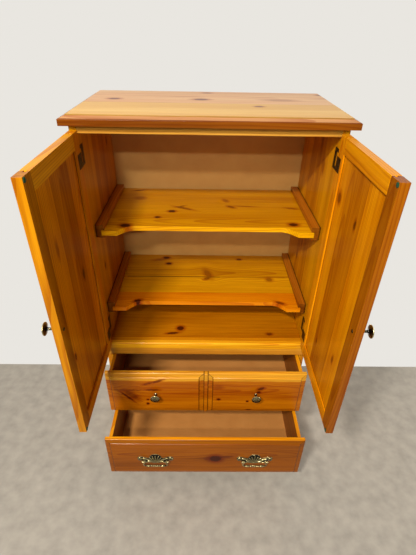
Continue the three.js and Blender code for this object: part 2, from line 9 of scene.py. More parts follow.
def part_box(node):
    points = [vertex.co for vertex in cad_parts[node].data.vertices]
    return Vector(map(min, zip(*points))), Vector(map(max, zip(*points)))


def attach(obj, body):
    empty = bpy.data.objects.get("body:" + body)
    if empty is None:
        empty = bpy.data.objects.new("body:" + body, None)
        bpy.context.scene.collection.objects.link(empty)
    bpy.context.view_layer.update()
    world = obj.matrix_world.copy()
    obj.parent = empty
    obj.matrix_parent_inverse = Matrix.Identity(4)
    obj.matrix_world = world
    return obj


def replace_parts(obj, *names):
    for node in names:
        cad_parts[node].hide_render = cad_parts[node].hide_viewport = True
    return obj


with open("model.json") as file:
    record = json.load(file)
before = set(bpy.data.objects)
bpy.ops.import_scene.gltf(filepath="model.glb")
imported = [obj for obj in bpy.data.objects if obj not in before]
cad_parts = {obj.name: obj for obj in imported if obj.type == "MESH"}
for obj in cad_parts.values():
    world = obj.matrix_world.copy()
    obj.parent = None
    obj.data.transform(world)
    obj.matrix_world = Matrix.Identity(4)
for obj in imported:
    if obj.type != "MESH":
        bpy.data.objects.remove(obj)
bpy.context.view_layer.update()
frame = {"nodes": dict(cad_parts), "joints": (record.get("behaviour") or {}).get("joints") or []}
nodes = frame["nodes"]

# The camera is held at standing eye height, a step in front of the cabinet, tipped well down so
# that the top, the shelves and the two open drawers all show. Its place, turn and focal length
# come from the cabinet's corners in the picture.
camera_place = Vector((-0.01546, -1.0709, 1.53977))
camera_pitch = 0.585516
camera_yaw = 0.016217
camera_roll = 0.019087
focal_pixels = 388.506
picture_height = 555
ahead = Vector((
    math.sin(camera_yaw) * math.cos(camera_pitch),
    math.cos(camera_yaw) * math.cos(camera_pitch),
    -math.sin(camera_pitch),
))
level_right = Vector((math.cos(camera_yaw), -math.sin(camera_yaw), 0))
level_up = level_right.cross(ahead)
right = math.cos(camera_roll) * level_right + math.sin(camera_roll) * level_up
up = math.cos(camera_roll) * level_up - math.sin(camera_roll) * level_right
lens = bpy.data.cameras.new("camera")
lens.sensor_width = 36
lens.lens = lens.sensor_width * focal_pixels / picture_height
lens.clip_start = 0.05
camera = bpy.data.objects.new("camera", lens)
camera.matrix_world = Matrix.Translation(camera_place) @ Matrix((right, up, -ahead)).transposed().to_4x4()
bpy.context.scene.collection.objects.link(camera)
bpy.context.scene.camera = camera
bpy.context.scene.view_settings.view_transform = "Standard"


# The studio: a plain floor of pale sealed concrete that turns white behind the cabinet, a bright even
# surround, three small ceiling lamps in a row in front, the nearest one to the left, and soft fills at
# the sides and behind, low enough to leave the inside to the ceiling lamps.
def colour(code):
    parts = [int(code[i:i + 2], 16) / 255 for i in (1, 3, 5)]
    linear = [c / 12.92 if c <= 0.04045 else ((c + 0.055) / 1.055) ** 2.4 for c in parts]
    return (*linear, 1)


def node(tree, kind, links=None, out=0, **settings):
    made = tree.nodes.new(kind)
    for name, value in settings.items():
        setattr(made, name, value)
    for socket, value in (links or {}).items():
        if isinstance(value, bpy.types.NodeSocket):
            tree.links.new(value, made.inputs[socket])
        else:
            made.inputs[socket].default_value = value
    return made if out is None else made.outputs[out]


def blank_material(name):
    made = bpy.data.materials.new(name)
    made.use_nodes = True
    made.node_tree.nodes.clear()
    return made, made.node_tree


def finished(tree, **sockets):
    names = {key.replace("_", " "): value for key, value in sockets.items()}
    shader = node(tree, "ShaderNodeBsdfPrincipled", names)
    node(tree, "ShaderNodeOutputMaterial", {"Surface": shader}, out=None)


wall_line = 0.4005  # 10 mm behind the cabinet
wall_white = colour("#e9e6e0")
floor_half = 40
floor_shape = bmesh.new()
bmesh.ops.create_grid(floor_shape, x_segments=1, y_segments=1, size=floor_half)
floor_data = bpy.data.meshes.new("studio_floor")
floor_shape.to_mesh(floor_data)
floor_shape.free()
studio_floor = bpy.data.objects.new("studio_floor", floor_data)
bpy.context.scene.collection.objects.link(studio_floor)
concrete, tree = blank_material("sealed_concrete_floor")
place = node(tree, "ShaderNodeTexCoord", out="Object")
distance = node(tree, "ShaderNodeSeparateXYZ", {"Vector": place}, out="Y")
behind = node(tree, "ShaderNodeMath", {0: distance, 1: wall_line}, operation="GREATER_THAN")
mottle = node(tree, "ShaderNodeTexNoise", {"Vector": place, "Scale": 22.0, "Detail": 7.0})  # 45 mm clouds
grey = node(tree, "ShaderNodeMix", {0: mottle, 6: colour("#84837f"), 7: colour("#b6b4ae")}, out=2,
            data_type="RGBA")
paint = node(tree, "ShaderNodeMix", {0: behind, 6: grey, 7: wall_white}, out=2, data_type="RGBA")
rays = node(tree, "ShaderNodeLightPath", out=None).outputs
seen = node(tree, "ShaderNodeMath", {0: rays["Is Camera Ray"], 1: rays["Is Glossy Ray"]}, operation="MAXIMUM")
seen = node(tree, "ShaderNodeMath", {0: seen, 1: behind}, operation="MULTIPLY")
matt = node(tree, "ShaderNodeBsdfPrincipled", {"Base Color": paint, "Roughness": 0.6})
white = node(tree, "ShaderNodeEmission", {"Color": wall_white, "Strength": 1.0})
cover = node(tree, "ShaderNodeMixShader", {0: seen, 1: matt, 2: white})
node(tree, "ShaderNodeOutputMaterial", {"Surface": cover}, out=None)
floor_data.materials.append(concrete)

world = bpy.data.worlds.new("studio")
bpy.context.scene.world = world
world.use_nodes = True
world.node_tree.nodes.clear()
tree = world.node_tree
rays = node(tree, "ShaderNodeLightPath", out=None)
seen = node(tree, "ShaderNodeMath", {0: rays.outputs["Is Camera Ray"], 1: rays.outputs["Is Glossy Ray"]},
            operation="MAXIMUM")
surround = node(tree, "ShaderNodeBackground", {"Color": colour("#fff6ec"), "Strength": 0.12})
backdrop = node(tree, "ShaderNodeBackground", {"Color": wall_white, "Strength": 1.0})
mixed = node(tree, "ShaderNodeMixShader", {0: seen, 1: surround, 2: backdrop})
node(tree, "ShaderNodeOutputWorld", {"Surface": mixed}, out=None)


cabinet_middle = Vector((0, 0, 0.9))
ceiling = 2.75
waist = 1.2
knee = 0.8
lamps = (
    ("near_lamp", (-0.81, -1.8, ceiling), 0.3, 0.1, 76),
    ("middle_lamp", (-0.55, -2.5, ceiling), 0.3, 0.1, 32),
    ("far_lamp", (-0.38, -3.6, ceiling), 0.3, 0.1, 42),
    ("left_fill", (-2.6, 0.1, knee), 1.4, 0.6, 10),
    ("right_fill", (2.6, 0.1, waist), 1.4, 0.8, 26),
    ("back_fill", (0, 3.0, knee), 1.6, 0.6, 45),
)
for name, place, width, depth, watts in lamps:
    data = bpy.data.lights.new(name, "AREA")
    data.shape = "RECTANGLE"
    data.size = width
    data.size_y = depth
    data.energy = watts
    data.color = colour("#fff3e2")[:3]
    made = bpy.data.objects.new(name, data)
    made.location = place
    made.rotation_euler = (cabinet_middle - made.location).to_track_quat("-Z", "Y").to_euler()
    made.visible_camera = False
    bpy.context.scene.collection.objects.link(made)


# The two sides: full-height glued pine boards with an orange-golden gloss varnish. Fast-grown
# pine has wide growth rings, long soft streaks along the grain and round dark knots that the
# grain flows about. Board edges are eased by sanding.
def ease_edges(name, width):
    weld = nodes[name].modifiers.new("weld", "WELD")
    weld.merge_threshold = 0.00001
    bevel = nodes[name].modifiers.new("eased_edges", "BEVEL")
    bevel.width = width
    bevel.segments = 2
    bevel.limit_method = "ANGLE"
    bevel.angle_limit = math.radians(35)


board_edge = 0.0012
fine_edge = 0.0008


def dress(name, material, eased=board_edge):
    nodes[name].material_slots[0].material = material
    if eased:
        ease_edges(name, eased)


knot_brown = colour("#3a1203")
line_brown = colour("#2a0f02")
late_wood = colour("#b8683a")
# How each pattern is drawn out, in waves per metre along, across and through the board
sapwood_edge = (9, 40, 0)  # waves 110 mm long and 25 mm apart
ring_wander = (1.7, 9, 9)  # 600 mm by 110 mm
broad_streaks = (1.1, 15, 15)  # 900 mm by 65 mm
thin_streaks = (3.5, 90, 90)  # 290 mm by 11 mm
fibre_lines = (18, 620, 620)  # 55 mm by 1.6 mm, coarser than real fibres so that they show
ring_waves = 0.314  # a ring wave of scale 1 repeats after this many metres
ring_taper = 0.07  # how fast a growth ring runs out along the board
ring_strength = 0.42
ring_sway = 0.015  # how far the rings wander aside
heart_depth = 0.035  # from the middle of a board down to the heart of the tree
heart_spread = 0.3  # how far aside the hearts of two boards may lie
tip_spread = 1.2  # how far along the tips of their arches may lie
board_jump = (7.7, 3.1, 5.3)  # how far one board's pattern lies from the next one's
knot_swing = 0.8  # how far the grain swings aside at a knot
swing_along, swing_across = 0.3, 0.5  # how soon that fades, in shares of the knot's size
knot_rim = (0.006, 0.006, 0)  # how ragged a knot's edge is
knot_edge = (1.1, 0.8)  # where a knot starts and is full, in shares of its size
halo_edge = (2.2, 0.9)  # the same for the stain round it
joint_blend = 0.0004
joint_width = 0.0014
grain_relief = 0.0004


def pine(name, piece, along, across, boards, joints=(), knots=(), lines=(), ring=0.006, turn=0.0,
         gloss=0.3, ragged=0.0):
    """Varnished pine: fibres along one axis, glued boards side by side across, each a pale and a deep tone.
    A knot has its place, half length, half width, lean and strength; a line its ends, half width and strength.
    Where ragged is set, the tones meet in a wavy line, as sapwood meets heartwood."""
    wood, tree = blank_material(name)
    low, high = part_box(piece)
    middle = (low + high) / 2
    axes = "XYZ"
    through = next(axis for axis in axes if axis not in (along, across))
    place = node(tree, "ShaderNodeTexCoord", out="Object")
    parts = node(tree, "ShaderNodeSeparateXYZ", {"Vector": place}, out=None).outputs
    grain = node(tree, "ShaderNodeCombineXYZ", {"X": parts[along], "Y": parts[across], "Z": parts[through]})
    depth = middle[axes.index(through)]
    pale, deep = (colour(tone) for tone in boards[0])
    number = turn
    nearest_joint = None
    edge = parts[across]
    if ragged:
        waves = node(tree, "ShaderNodeVectorMath", {0: grain, 1: sapwood_edge}, operation="MULTIPLY")
        waves = node(tree, "ShaderNodeTexNoise", {"Vector": waves, "Scale": 1.0, "Detail": 3.0})
        edge = node(tree, "ShaderNodeMath", {0: waves, 1: ragged, 2: edge}, operation="MULTIPLY_ADD")
        edge = node(tree, "ShaderNodeMath", {0: edge, 1: ragged / 2}, operation="SUBTRACT")
    # Glued boards: each has its own tones, and a number that shifts its pattern
    for joint, tones in zip(joints, boards[1:]):
        blend = joint_blend + ragged / 8
        past = node(tree, "ShaderNodeMapRange",
                    {"Value": edge, "From Min": joint - blend, "From Max": joint + blend})
        pale = node(tree, "ShaderNodeMix", {0: past, 6: pale, 7: colour(tones[0])}, out=2, data_type="RGBA")
        deep = node(tree, "ShaderNodeMix", {0: past, 6: deep, 7: colour(tones[1])}, out=2, data_type="RGBA")
        if ragged:
            continue
        board = node(tree, "ShaderNodeMath", {0: parts[across], 1: joint}, operation="GREATER_THAN")
        number = node(tree, "ShaderNodeMath", {0: board, 1: number}, operation="ADD")
        gap = node(tree, "ShaderNodeMath", {0: parts[across], 1: joint}, operation="SUBTRACT")
        gap = node(tree, "ShaderNodeMath", {0: gap}, operation="ABSOLUTE")
        nearest_joint = gap if nearest_joint is None else node(
            tree, "ShaderNodeMath", {0: nearest_joint, 1: gap}, operation="MINIMUM")
    chance = node(tree, "ShaderNodeTexWhiteNoise", {"W": number}, out="Value", noise_dimensions="1D")
    ruffle = node(tree, "ShaderNodeTexNoise", {"Vector": grain, "Scale": 110.0}, out=None)
    ruffle = node(tree, "ShaderNodeVectorMath", {0: ruffle.outputs["Color"], 1: (0.5, 0.5, 0.5)},
                  operation="SUBTRACT")
    # Knots: the grain swings round each, and its rim is ragged and stained
    pattern = grain
    spot = halo = None
    for knot_along, knot_across, long, wide, lean, strength in knots:
        off = node(tree, "ShaderNodeVectorMath", {0: grain, 1: (knot_along, knot_across, depth)},
                   operation="SUBTRACT")
        off = node(tree, "ShaderNodeMapping", {"Vector": off, "Rotation": (0, 0, -math.radians(lean))},
                   vector_type="POINT")
        fade = (swing_along / long, swing_across / wide, 0)
        around = node(tree, "ShaderNodeVectorMath", {0: off, 1: fade}, operation="MULTIPLY")
        reach = node(tree, "ShaderNodeVectorMath", {0: around, 1: around}, out="Value", operation="DOT_PRODUCT")
        reach = node(tree, "ShaderNodeMath", {0: reach, 1: -1.0}, operation="MULTIPLY")
        reach = node(tree, "ShaderNodeMath", {0: reach}, operation="EXPONENT")
        push = node(tree, "ShaderNodeVectorMath", {0: off, 1: (0, -knot_swing, 0)}, operation="MULTIPLY")
        push = node(tree, "ShaderNodeVectorMath", {0: push, "Scale": reach}, operation="SCALE")
        pattern = node(tree, "ShaderNodeVectorMath", {0: pattern, 1: push}, operation="ADD")
        close = node(tree, "ShaderNodeVectorMath", {0: ruffle, 1: knot_rim, 2: off}, operation="MULTIPLY_ADD")
        close = node(tree, "ShaderNodeVectorMath", {0: close, 1: (1 / long, 1 / wide, 0)}, operation="MULTIPLY")
        close = node(tree, "ShaderNodeVectorMath", {0: close}, out="Value", operation="LENGTH")
        here = node(tree, "ShaderNodeMapRange",
                    {"Value": close, "From Min": knot_edge[0], "From Max": knot_edge[1], "To Max": strength},
                    interpolation_type="SMOOTHSTEP")
        glow = node(tree, "ShaderNodeMapRange", {"Value": close, "From Min": halo_edge[0],
                                                  "From Max": halo_edge[1], "To Max": 0.35 + 0.45 * strength},
                    interpolation_type="SMOOTHSTEP")
        spot = here if spot is None else node(tree, "ShaderNodeMath", {0: spot, 1: here}, operation="MAXIMUM")
        halo = glow if halo is None else node(tree, "ShaderNodeMath", {0: halo, 1: glow}, operation="MAXIMUM")
    flow = node(tree, "ShaderNodeVectorMath", {0: pattern, 1: grain}, operation="SUBTRACT")
    flow = node(tree, "ShaderNodeSeparateXYZ", {"Vector": flow}, out="Y")
    jump = node(tree, "ShaderNodeVectorMath", {0: chance, 1: board_jump}, operation="MULTIPLY")
    pattern = node(tree, "ShaderNodeVectorMath", {0: pattern, 1: jump}, operation="ADD")
    # Growth rings: long nested arches about a heart that lies under each board
    slow = node(tree, "ShaderNodeVectorMath", {0: pattern, 1: ring_wander}, operation="MULTIPLY")
    wander = node(tree, "ShaderNodeTexNoise", {"Vector": slow, "Scale": 1.0, "Detail": 2.0})
    wander = node(tree, "ShaderNodeMapRange", {"Value": wander, "To Min": -ring_sway, "To Max": ring_sway})
    heart = middle[axes.index(across)]
    heart = node(tree, "ShaderNodeMath", {0: chance, 1: heart_spread, 2: heart - heart_spread / 2},
                 operation="MULTIPLY_ADD")
    aside = node(tree, "ShaderNodeMath", {0: parts[across], 1: heart}, operation="SUBTRACT")
    aside = node(tree, "ShaderNodeMath", {0: aside, 1: wander}, operation="ADD")
    aside = node(tree, "ShaderNodeMath", {0: aside, 1: flow}, operation="ADD")
    ring_start = -middle[axes.index(along)] - tip_spread / 2
    run = node(tree, "ShaderNodeMath", {0: chance, 1: tip_spread, 2: ring_start}, operation="MULTIPLY_ADD")
    run = node(tree, "ShaderNodeMath", {0: run, 1: parts[along]}, operation="ADD")
    run = node(tree, "ShaderNodeMath", {0: run, 1: ring_taper}, operation="MULTIPLY")
    under = node(tree, "ShaderNodeMath", {0: parts[through], 1: heart_depth - depth}, operation="ADD")
    arch = node(tree, "ShaderNodeCombineXYZ", {"X": run, "Y": aside, "Z": under})
    rings = node(tree, "ShaderNodeTexWave", {"Vector": arch, "Scale": ring_waves / ring, "Distortion": 1.2,
                                              "Detail": 2.0, "Detail Scale": 0.35},
                 out="Fac", wave_type="RINGS", rings_direction="SPHERICAL", wave_profile="SAW")
    late = node(tree, "ShaderNodeMapRange", {"Value": rings, "From Min": 0.45, "From Max": 1.0},
                interpolation_type="SMOOTHSTEP")
    # Streaks of deeper tone and the fibres between them
    broad = node(tree, "ShaderNodeVectorMath", {0: pattern, 1: broad_streaks}, operation="MULTIPLY")
    broad = node(tree, "ShaderNodeTexNoise", {"Vector": broad, "Scale": 1.0, "Detail": 3.0, "Roughness": 0.45})
    drawn = node(tree, "ShaderNodeVectorMath", {0: pattern, 1: thin_streaks}, operation="MULTIPLY")
    drawn = node(tree, "ShaderNodeTexNoise", {"Vector": drawn, "Scale": 1.0, "Detail": 3.0, "Roughness": 0.55})
    streaks = node(tree, "ShaderNodeMath", {0: drawn, 1: 0.6, 2: broad}, operation="MULTIPLY_ADD")
    streaks = node(tree, "ShaderNodeMapRange", {"Value": streaks, "From Min": 0.62, "From Max": 1.0})
    fine = node(tree, "ShaderNodeVectorMath", {0: pattern, 1: fibre_lines}, operation="MULTIPLY")
    fibres = node(tree, "ShaderNodeTexNoise", {"Vector": fine, "Scale": 1.0, "Detail": 2.0})
    body = node(tree, "ShaderNodeMix", {0: streaks, 6: pale, 7: deep}, out=2, data_type="RGBA")
    dark = node(tree, "ShaderNodeMix", {0: 1.0, 6: body, 7: late_wood}, out=2, data_type="RGBA",
                blend_type="MULTIPLY")
    mark = node(tree, "ShaderNodeMath", {0: late, 1: ring_strength}, operation="MULTIPLY")
    body = node(tree, "ShaderNodeMix", {0: mark, 6: body, 7: dark}, out=2, data_type="RGBA")
    tone = node(tree, "ShaderNodeMath", {0: fibres, 1: 0.36, 2: 0.82}, operation="MULTIPLY_ADD")
    body = node(tree, "ShaderNodeHueSaturation", {"Value": tone, "Color": body})
    if spot is not None:
        body = node(tree, "ShaderNodeMix", {0: halo, 6: body, 7: dark}, out=2, data_type="RGBA")
        body = node(tree, "ShaderNodeMix", {0: spot, 6: body, 7: knot_brown}, out=2, data_type="RGBA")
    if nearest_joint is not None:
        seam = node(tree, "ShaderNodeMapRange",
                    {"Value": nearest_joint, "From Min": joint_width, "From Max": 0.0, "To Max": 0.75})
        body = node(tree, "ShaderNodeMix", {0: seam, 6: body, 7: dark}, out=2, data_type="RGBA")
    # Dark lines: open joints and end grain in the wood, and painted shade in grooves, steps and corners where
    # members meet
    for tip, tail, half_width, strength in lines:
        run = Vector((*tail, 0)) - Vector((*tip, 0))
        off = node(tree, "ShaderNodeVectorMath", {0: grain, 1: (*tip, 0)}, operation="SUBTRACT")
        off = node(tree, "ShaderNodeVectorMath", {0: off, 1: (1, 1, 0)}, operation="MULTIPLY")
        share = node(tree, "ShaderNodeVectorMath", {0: off, 1: run / run.length_squared}, out="Value",
                     operation="DOT_PRODUCT")
        share = node(tree, "ShaderNodeClamp", {"Value": share})
        beside = node(tree, "ShaderNodeVectorMath", {0: tuple(run), "Scale": share}, operation="SCALE")
        line = node(tree, "ShaderNodeVectorMath", {0: off, 1: beside}, out="Value", operation="DISTANCE")
        line = node(tree, "ShaderNodeMapRange",
                    {"Value": line, "From Min": half_width, "From Max": 0.0, "To Max": strength},
                    interpolation_type="SMOOTHSTEP")
        body = node(tree, "ShaderNodeMix", {0: line, 6: body, 7: line_brown}, out=2, data_type="RGBA")
    height = node(tree, "ShaderNodeMath", {0: late, 1: 0.4, 2: fibres}, operation="MULTIPLY_ADD")
    bump = node(tree, "ShaderNodeBump", {"Strength": 0.12, "Distance": grain_relief, "Height": height})
    finished(tree, Base_Color=body, Roughness=gloss, Specular_IOR_Level=0.1, Normal=bump, Coat_Weight=0.07,
             Coat_Roughness=0.12)
    return wood


golden = ("#d89a08", "#b47200")
honey = ("#c88606", "#a05e00")
side_knots = {
    "left": [(0.83, 0.07, 0.012, 0.006, 0, 0.7), (1.19, 0.3, 0.012, 0.007, 0, 0.6)],
    "right": [(1.172, 0.11, 0.022, 0.012, 0, 0.35), (1.23, 0.16, 0.02, 0.006, 0, 0.3),
              (0.86, 0.2, 0.01, 0.005, 0, 0.8), (0.78, 0.24, 0.012, 0.006, 0, 0.5)],
}
for side, turn in (("left", 3.0), ("right", 8.0)):
    piece = "side_" + side
    dress(piece, pine("varnished_pine_" + piece, piece, "Z", "Y", (golden, honey, golden), joints=(0.12, 0.255),
                      knots=side_knots[side], turn=turn))


# The rails, the plinth and the inner base rail: single pine boards, glued between or across the sides.
# The strip under the deck is planed to the same thickness and varnished a shade browner.
for piece, tones in (("top_rail", ("#c4943a", "#aa7626")), ("plinth", golden), ("base_rail", honey),
                     ("deck_apron", ("#dca030", "#b87820"))):
    dress(piece, pine("varnished_pine_" + piece, piece, "X", "Z", (tones,), turn=2.0))


# The back: thin hardboard let into the rebates of the sides, bare inside, a fine even brown felt
# of fibres with no grain and hardly any sheen.
felted_relief = 0.0003


def hardboard(name, pale, deep):
    board, tree = blank_material(name)
    place = node(tree, "ShaderNodeTexCoord", out="Object")
    cloud = node(tree, "ShaderNodeTexNoise", {"Vector": place, "Scale": 16.0, "Detail": 6.0})  # 60 mm
    fleck = node(tree, "ShaderNodeTexNoise", {"Vector": place, "Scale": 700.0, "Detail": 3.0})  # 1.4 mm
    both = node(tree, "ShaderNodeMath", {0: fleck, 1: 0.5, 2: cloud}, operation="MULTIPLY_ADD")
    share = node(tree, "ShaderNodeMapRange", {"Value": both, "From Min": 0.35, "From Max": 1.15})
    shade = node(tree, "ShaderNodeMix", {0: share, 6: colour(pale), 7: colour(deep)}, out=2, data_type="RGBA")
    bump = node(tree, "ShaderNodeBump", {"Strength": 0.15, "Distance": felted_relief, "Height": fleck})
    finished(tree, Base_Color=shade, Roughness=0.55, Normal=bump)
    return board


dress("back_panel", hardboard("bare_hardboard_back", "#c8a25c", "#b68c4a"), eased=0)


# The top: two wide pine boards glued edge to edge, the front one pale and the back one pinker,
# framed on three sides by a redder mitred moulding with a rounded nose and a step up to the flat.
top_knots = [(-0.292, 0.227, 0.017, 0.012, 0, 0.7), (-0.026, 0.235, 0.022, 0.013, 0, 0.75),
             (0.142, 0.131, 0.012, 0.009, 0, 0.6), (-0.007, 0.365, 0.015, 0.009, 0, 0.5),
             (0.374, 0.353, 0.016, 0.01, 0, 0.6), (0.221, 0.241, 0.04, 0.014, 0, 0.2)]
low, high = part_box("top_panel")
# A dark line along the boards' front edge, in the step down to the moulding, is painted shade in the quirk.
quirk_shade = (0.003, 0.6)
shade_line = ((low.x, low.y), (high.x, low.y), *quirk_shade)
pale_board = ("#f3cc72", "#e6b454")
pink_board = ("#f6cc92", "#e6ac72")
dress("top_panel", pine("varnished_pine_top_boards", "top_panel", "X", "Y", (pale_board, pink_board),
                        joints=(0.1705,), knots=top_knots, lines=(shade_line,), turn=2.0, ring=0.009))
# The pale pink band along the moulding's flat and the top of its nose is a painted highlight, the reflection of
# the bright surround; the face below keeps the darker red tone.
nose_tones = ("#804608", "#602e04")
highlight_band_tones = ("#c29264", "#aa764e")
nose_width = 0.0035
for side, along, across in (("front", "X", "Y"), ("left", "Y", "X"), ("right", "Y", "X")):
    strip = "top_moulding_" + side
    low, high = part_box(strip)
    boards, step = {"front": ((nose_tones, highlight_band_tones), low.y + nose_width),
                    "left": ((nose_tones, highlight_band_tones), low.x + nose_width),
                    "right": ((highlight_band_tones, nose_tones), high.x - nose_width)}[side]
    wood = pine("varnished_pine_moulding_" + side, strip, along, across, boards, joints=(step,), ragged=0.001)
    dress(strip, wood, eased=fine_edge)


# The deck, which carries the television: three pine boards glued edge to edge, let in between the
# sides, with a paler rounded nosing glued along the front.
deck_knots = [(-0.098, 0.058, 0.013, 0.012, 0, 0.9), (-0.126, 0.03, 0.022, 0.005, 8, 0.8),
              (0.237, 0.0285, 0.011, 0.006, 0, 0.6)]
deck_boards = (("#ce8b0c", "#b36d04"), ("#bc7906", "#975500"), ("#c68a08", "#a46400"))
dress("deck", pine("varnished_pine_deck", "deck", "X", "Y", deck_boards, joints=(0.008, 0.2), knots=deck_knots,
                   turn=5.0))
nosing_tones = ("#f0b420", "#d08c08")
dress("deck_nosing", pine("varnished_pine_nosing", "deck_nosing", "X", "Z", (nosing_tones,)), eased=fine_edge)


# The shelves: slide-out trays of three glued pine boards with two ears and a shaped front edge, and
# the thick grooved runners of a redder hardwood that are glued to the sides and hold their edges.
shelf_knots = {
    "upper": [(-0.261, 0.362, 0.02, 0.004, 14, 0.9), (-0.247, 0.285, 0.015, 0.012, 0, 0.2),
              (-0.124, 0.170, 0.012, 0.008, 0, 0.95), (-0.085, 0.198, 0.032, 0.006, -24, 0.5),
              (-0.095, 0.212, 0.016, 0.004, 30, 0.45), (-0.168, 0.121, 0.009, 0.006, 0, 1.0),
              (0.065, 0.270, 0.008, 0.014, 30, 0.3), (0.082, 0.213, 0.014, 0.007, -30, 0.5),
              (0.13, 0.22, 0.03, 0.004, -5, 0.2), (-0.264, 0.055, 0.016, 0.012, 0, 1.0),
              (0.278, 0.075, 0.015, 0.011, 0, 0.9), (0.297, 0.205, 0.02, 0.006, -12, 0.3)],
    "lower": [(-0.171, 0.359, 0.013, 0.008, 0, 0.9), (-0.19, 0.345, 0.03, 0.008, 10, 0.3),
              (-0.157, 0.311, 0.011, 0.008, 0, 1.0), (0.138, 0.350, 0.010, 0.006, 0, 0.8),
              (0.005, 0.234, 0.012, 0.03, 20, 0.3), (0.0, 0.2, 0.012, 0.008, 20, 0.5),
              (0.246, 0.198, 0.012, 0.012, 0, 0.4), (-0.250, 0.053, 0.013, 0.008, 20, 0.9),
              (0.264, 0.047, 0.016, 0.007, -25, 0.6)],
}
upper_boards = (("#e8b40a", "#d09404"), ("#cc9306", "#b37500"), ("#c68b04", "#ab6c00"))
dress("upper_shelf", pine("varnished_pine_upper_shelf", "upper_shelf", "X", "Y", upper_boards,
                          joints=(0.053, 0.25), knots=shelf_knots["upper"], turn=1.0, ragged=0.001))
lower_boards = (("#de8c06", "#c06800"), ("#d39808", "#b87900"), ("#cb8f04", "#ab6e00"))
open_joint = 0.2125
joint_lines = (((-0.31, open_joint), (0.05, open_joint), 0.004, 0.9),
               ((0.05, open_joint), (0.31, open_joint), 0.003, 0.45))
dress("lower_shelf", pine("varnished_pine_lower_shelf", "lower_shelf", "X", "Y", lower_boards,
                          joints=(0.107, open_joint), knots=shelf_knots["lower"], lines=joint_lines, turn=6.0))
# The left runners are painted paler than the right: painted light that lifts the shade the left door casts on
# them.
runner_tones = {"left": ("#c07a18", "#985208"), "right": ("#b06c14", "#884606")}
# The dark line along each runner's outer edge is painted shade in the corner against the side; the dark front
# end is end grain.
runner_corner_shade = {"left": (0.0035, 0.9), "right": (0.0045, 0.9)}
end_stain = (0.004, 0.5)
inner_face = 0.3495
for level in ("upper", "lower"):
    for side, sign in (("left", -1), ("right", 1)):
        strip = f"{level}_shelf_runner_{side}"
        low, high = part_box(strip)
        corner = sign * inner_face
        shade_line = ((low.y, corner), (high.y, corner), *runner_corner_shade[side])
        end_grain = ((low.y, low.x), (low.y, high.x), *end_stain)
        dress(strip, pine("varnished_hardwood_" + strip, strip, "Y", "X", (runner_tones[side],), ring=0.003,
                          lines=(shade_line, end_grain)))


# The doors: pine stiles and rails, the fibres along each member, grooved for a panel of three glued
# boards that lies flat inside and is raised outside. The dark line round the panel is painted shade in the
# groove.
door_knots = {
    "left_door_panel": [(0.947, -0.165, 0.016, 0.007, 0, 0.8), (0.798, -0.335, 0.01, 0.005, 0, 0.8),
                        (1.1, -0.3, 0.02, 0.006, 0, 0.3)],
    "right_door_panel": [(1.151, -0.095, 0.014, 0.012, 0, 0.6), (1.136, -0.232, 0.012, 0.006, 0, 0.8),
                         (0.76, -0.3, 0.012, 0.005, 0, 0.5), (0.7, -0.16, 0.01, 0.005, 0, 0.5)],
}
door_gold = ("#e49a08", "#c27200")
door_honey = ("#c67e06", "#a05600")
# The left door's top rail is painted paler than the other members: painted light on the top of that door's
# inner face.
lit_top_rail = ("#f0b414", "#d8940c")
free_tones = {"left": ("#c08008", "#884800"), "right": ("#9c5a06", "#7c3c04")}
door_edge = 0.0006
# Painted shade in the groove round the panel, fainter along the free side
panel_groove_shade = (0.0026, 0.85)
free_side_groove_shade = (0.0016, 0.4)
for side, turn in (("left", 4.0), ("right", 9.0)):
    front_y, back_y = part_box(side + "_door_free_stile")[1].y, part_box(side + "_door_hinge_stile")[0].y
    foot_z, head_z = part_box(side + "_door_bottom_rail")[1].z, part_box(side + "_door_top_rail")[0].z
    front_foot, front_head = (foot_z, front_y), (head_z, front_y)
    back_foot, back_head = (foot_z, back_y), (head_z, back_y)
    groove = [(front_head, back_head, *panel_groove_shade), (back_foot, back_head, *panel_groove_shade),
              (front_foot, back_foot, *panel_groove_shade), (front_foot, front_head, *free_side_groove_shade)]
    for part, boards, joints, lines in (
            ("hinge_stile", (door_gold,), (), ()),
            ("free_stile", (free_tones[side],), (), ()),
            ("panel", (door_gold, door_honey, door_gold), (-0.26, -0.14), groove)):
        piece = f"{side}_door_{part}"
        dress(piece, pine("varnished_pine_" + piece, piece, "Z", "Y", boards, joints=joints, lines=lines,
                          knots=door_knots.get(piece, ()), turn=turn), eased=door_edge)
    for part in ("top_rail", "bottom_rail"):
        piece = f"{side}_door_{part}"
        tones = lit_top_rail if piece == "left_door_top_rail" else door_gold
        dress(piece, pine("varnished_pine_" + piece, piece, "Y", "Z", (tones,), turn=turn), eased=door_edge)


# The hinges: two a door, stamped from steel sheet and rolled round a pin, with a dark bronze finish
# that wears paler where hands and leaves rub.
bronze, tree = blank_material("bronzed_steel_hinge")
place = node(tree, "ShaderNodeTexCoord", out="Object")
rub = node(tree, "ShaderNodeTexNoise", {"Vector": place, "Scale": 180.0, "Detail": 4.0})  # 5.5 mm patches
rub = node(tree, "ShaderNodeMapRange", {"Value": rub, "From Min": 0.45, "From Max": 0.75})
metal = node(tree, "ShaderNodeMix", {0: rub, 6: colour("#3a2e20"), 7: colour("#6e5c3e")}, out=2,
             data_type="RGBA")
finished(tree, Base_Color=metal, Metallic=1.0, Roughness=0.42)
for side in ("left", "right"):
    for level in ("upper", "lower"):
        for leaf in ("door", "frame"):
            dress(f"{side}_{level}_hinge_{leaf}_leaf", bronze, eased=0)


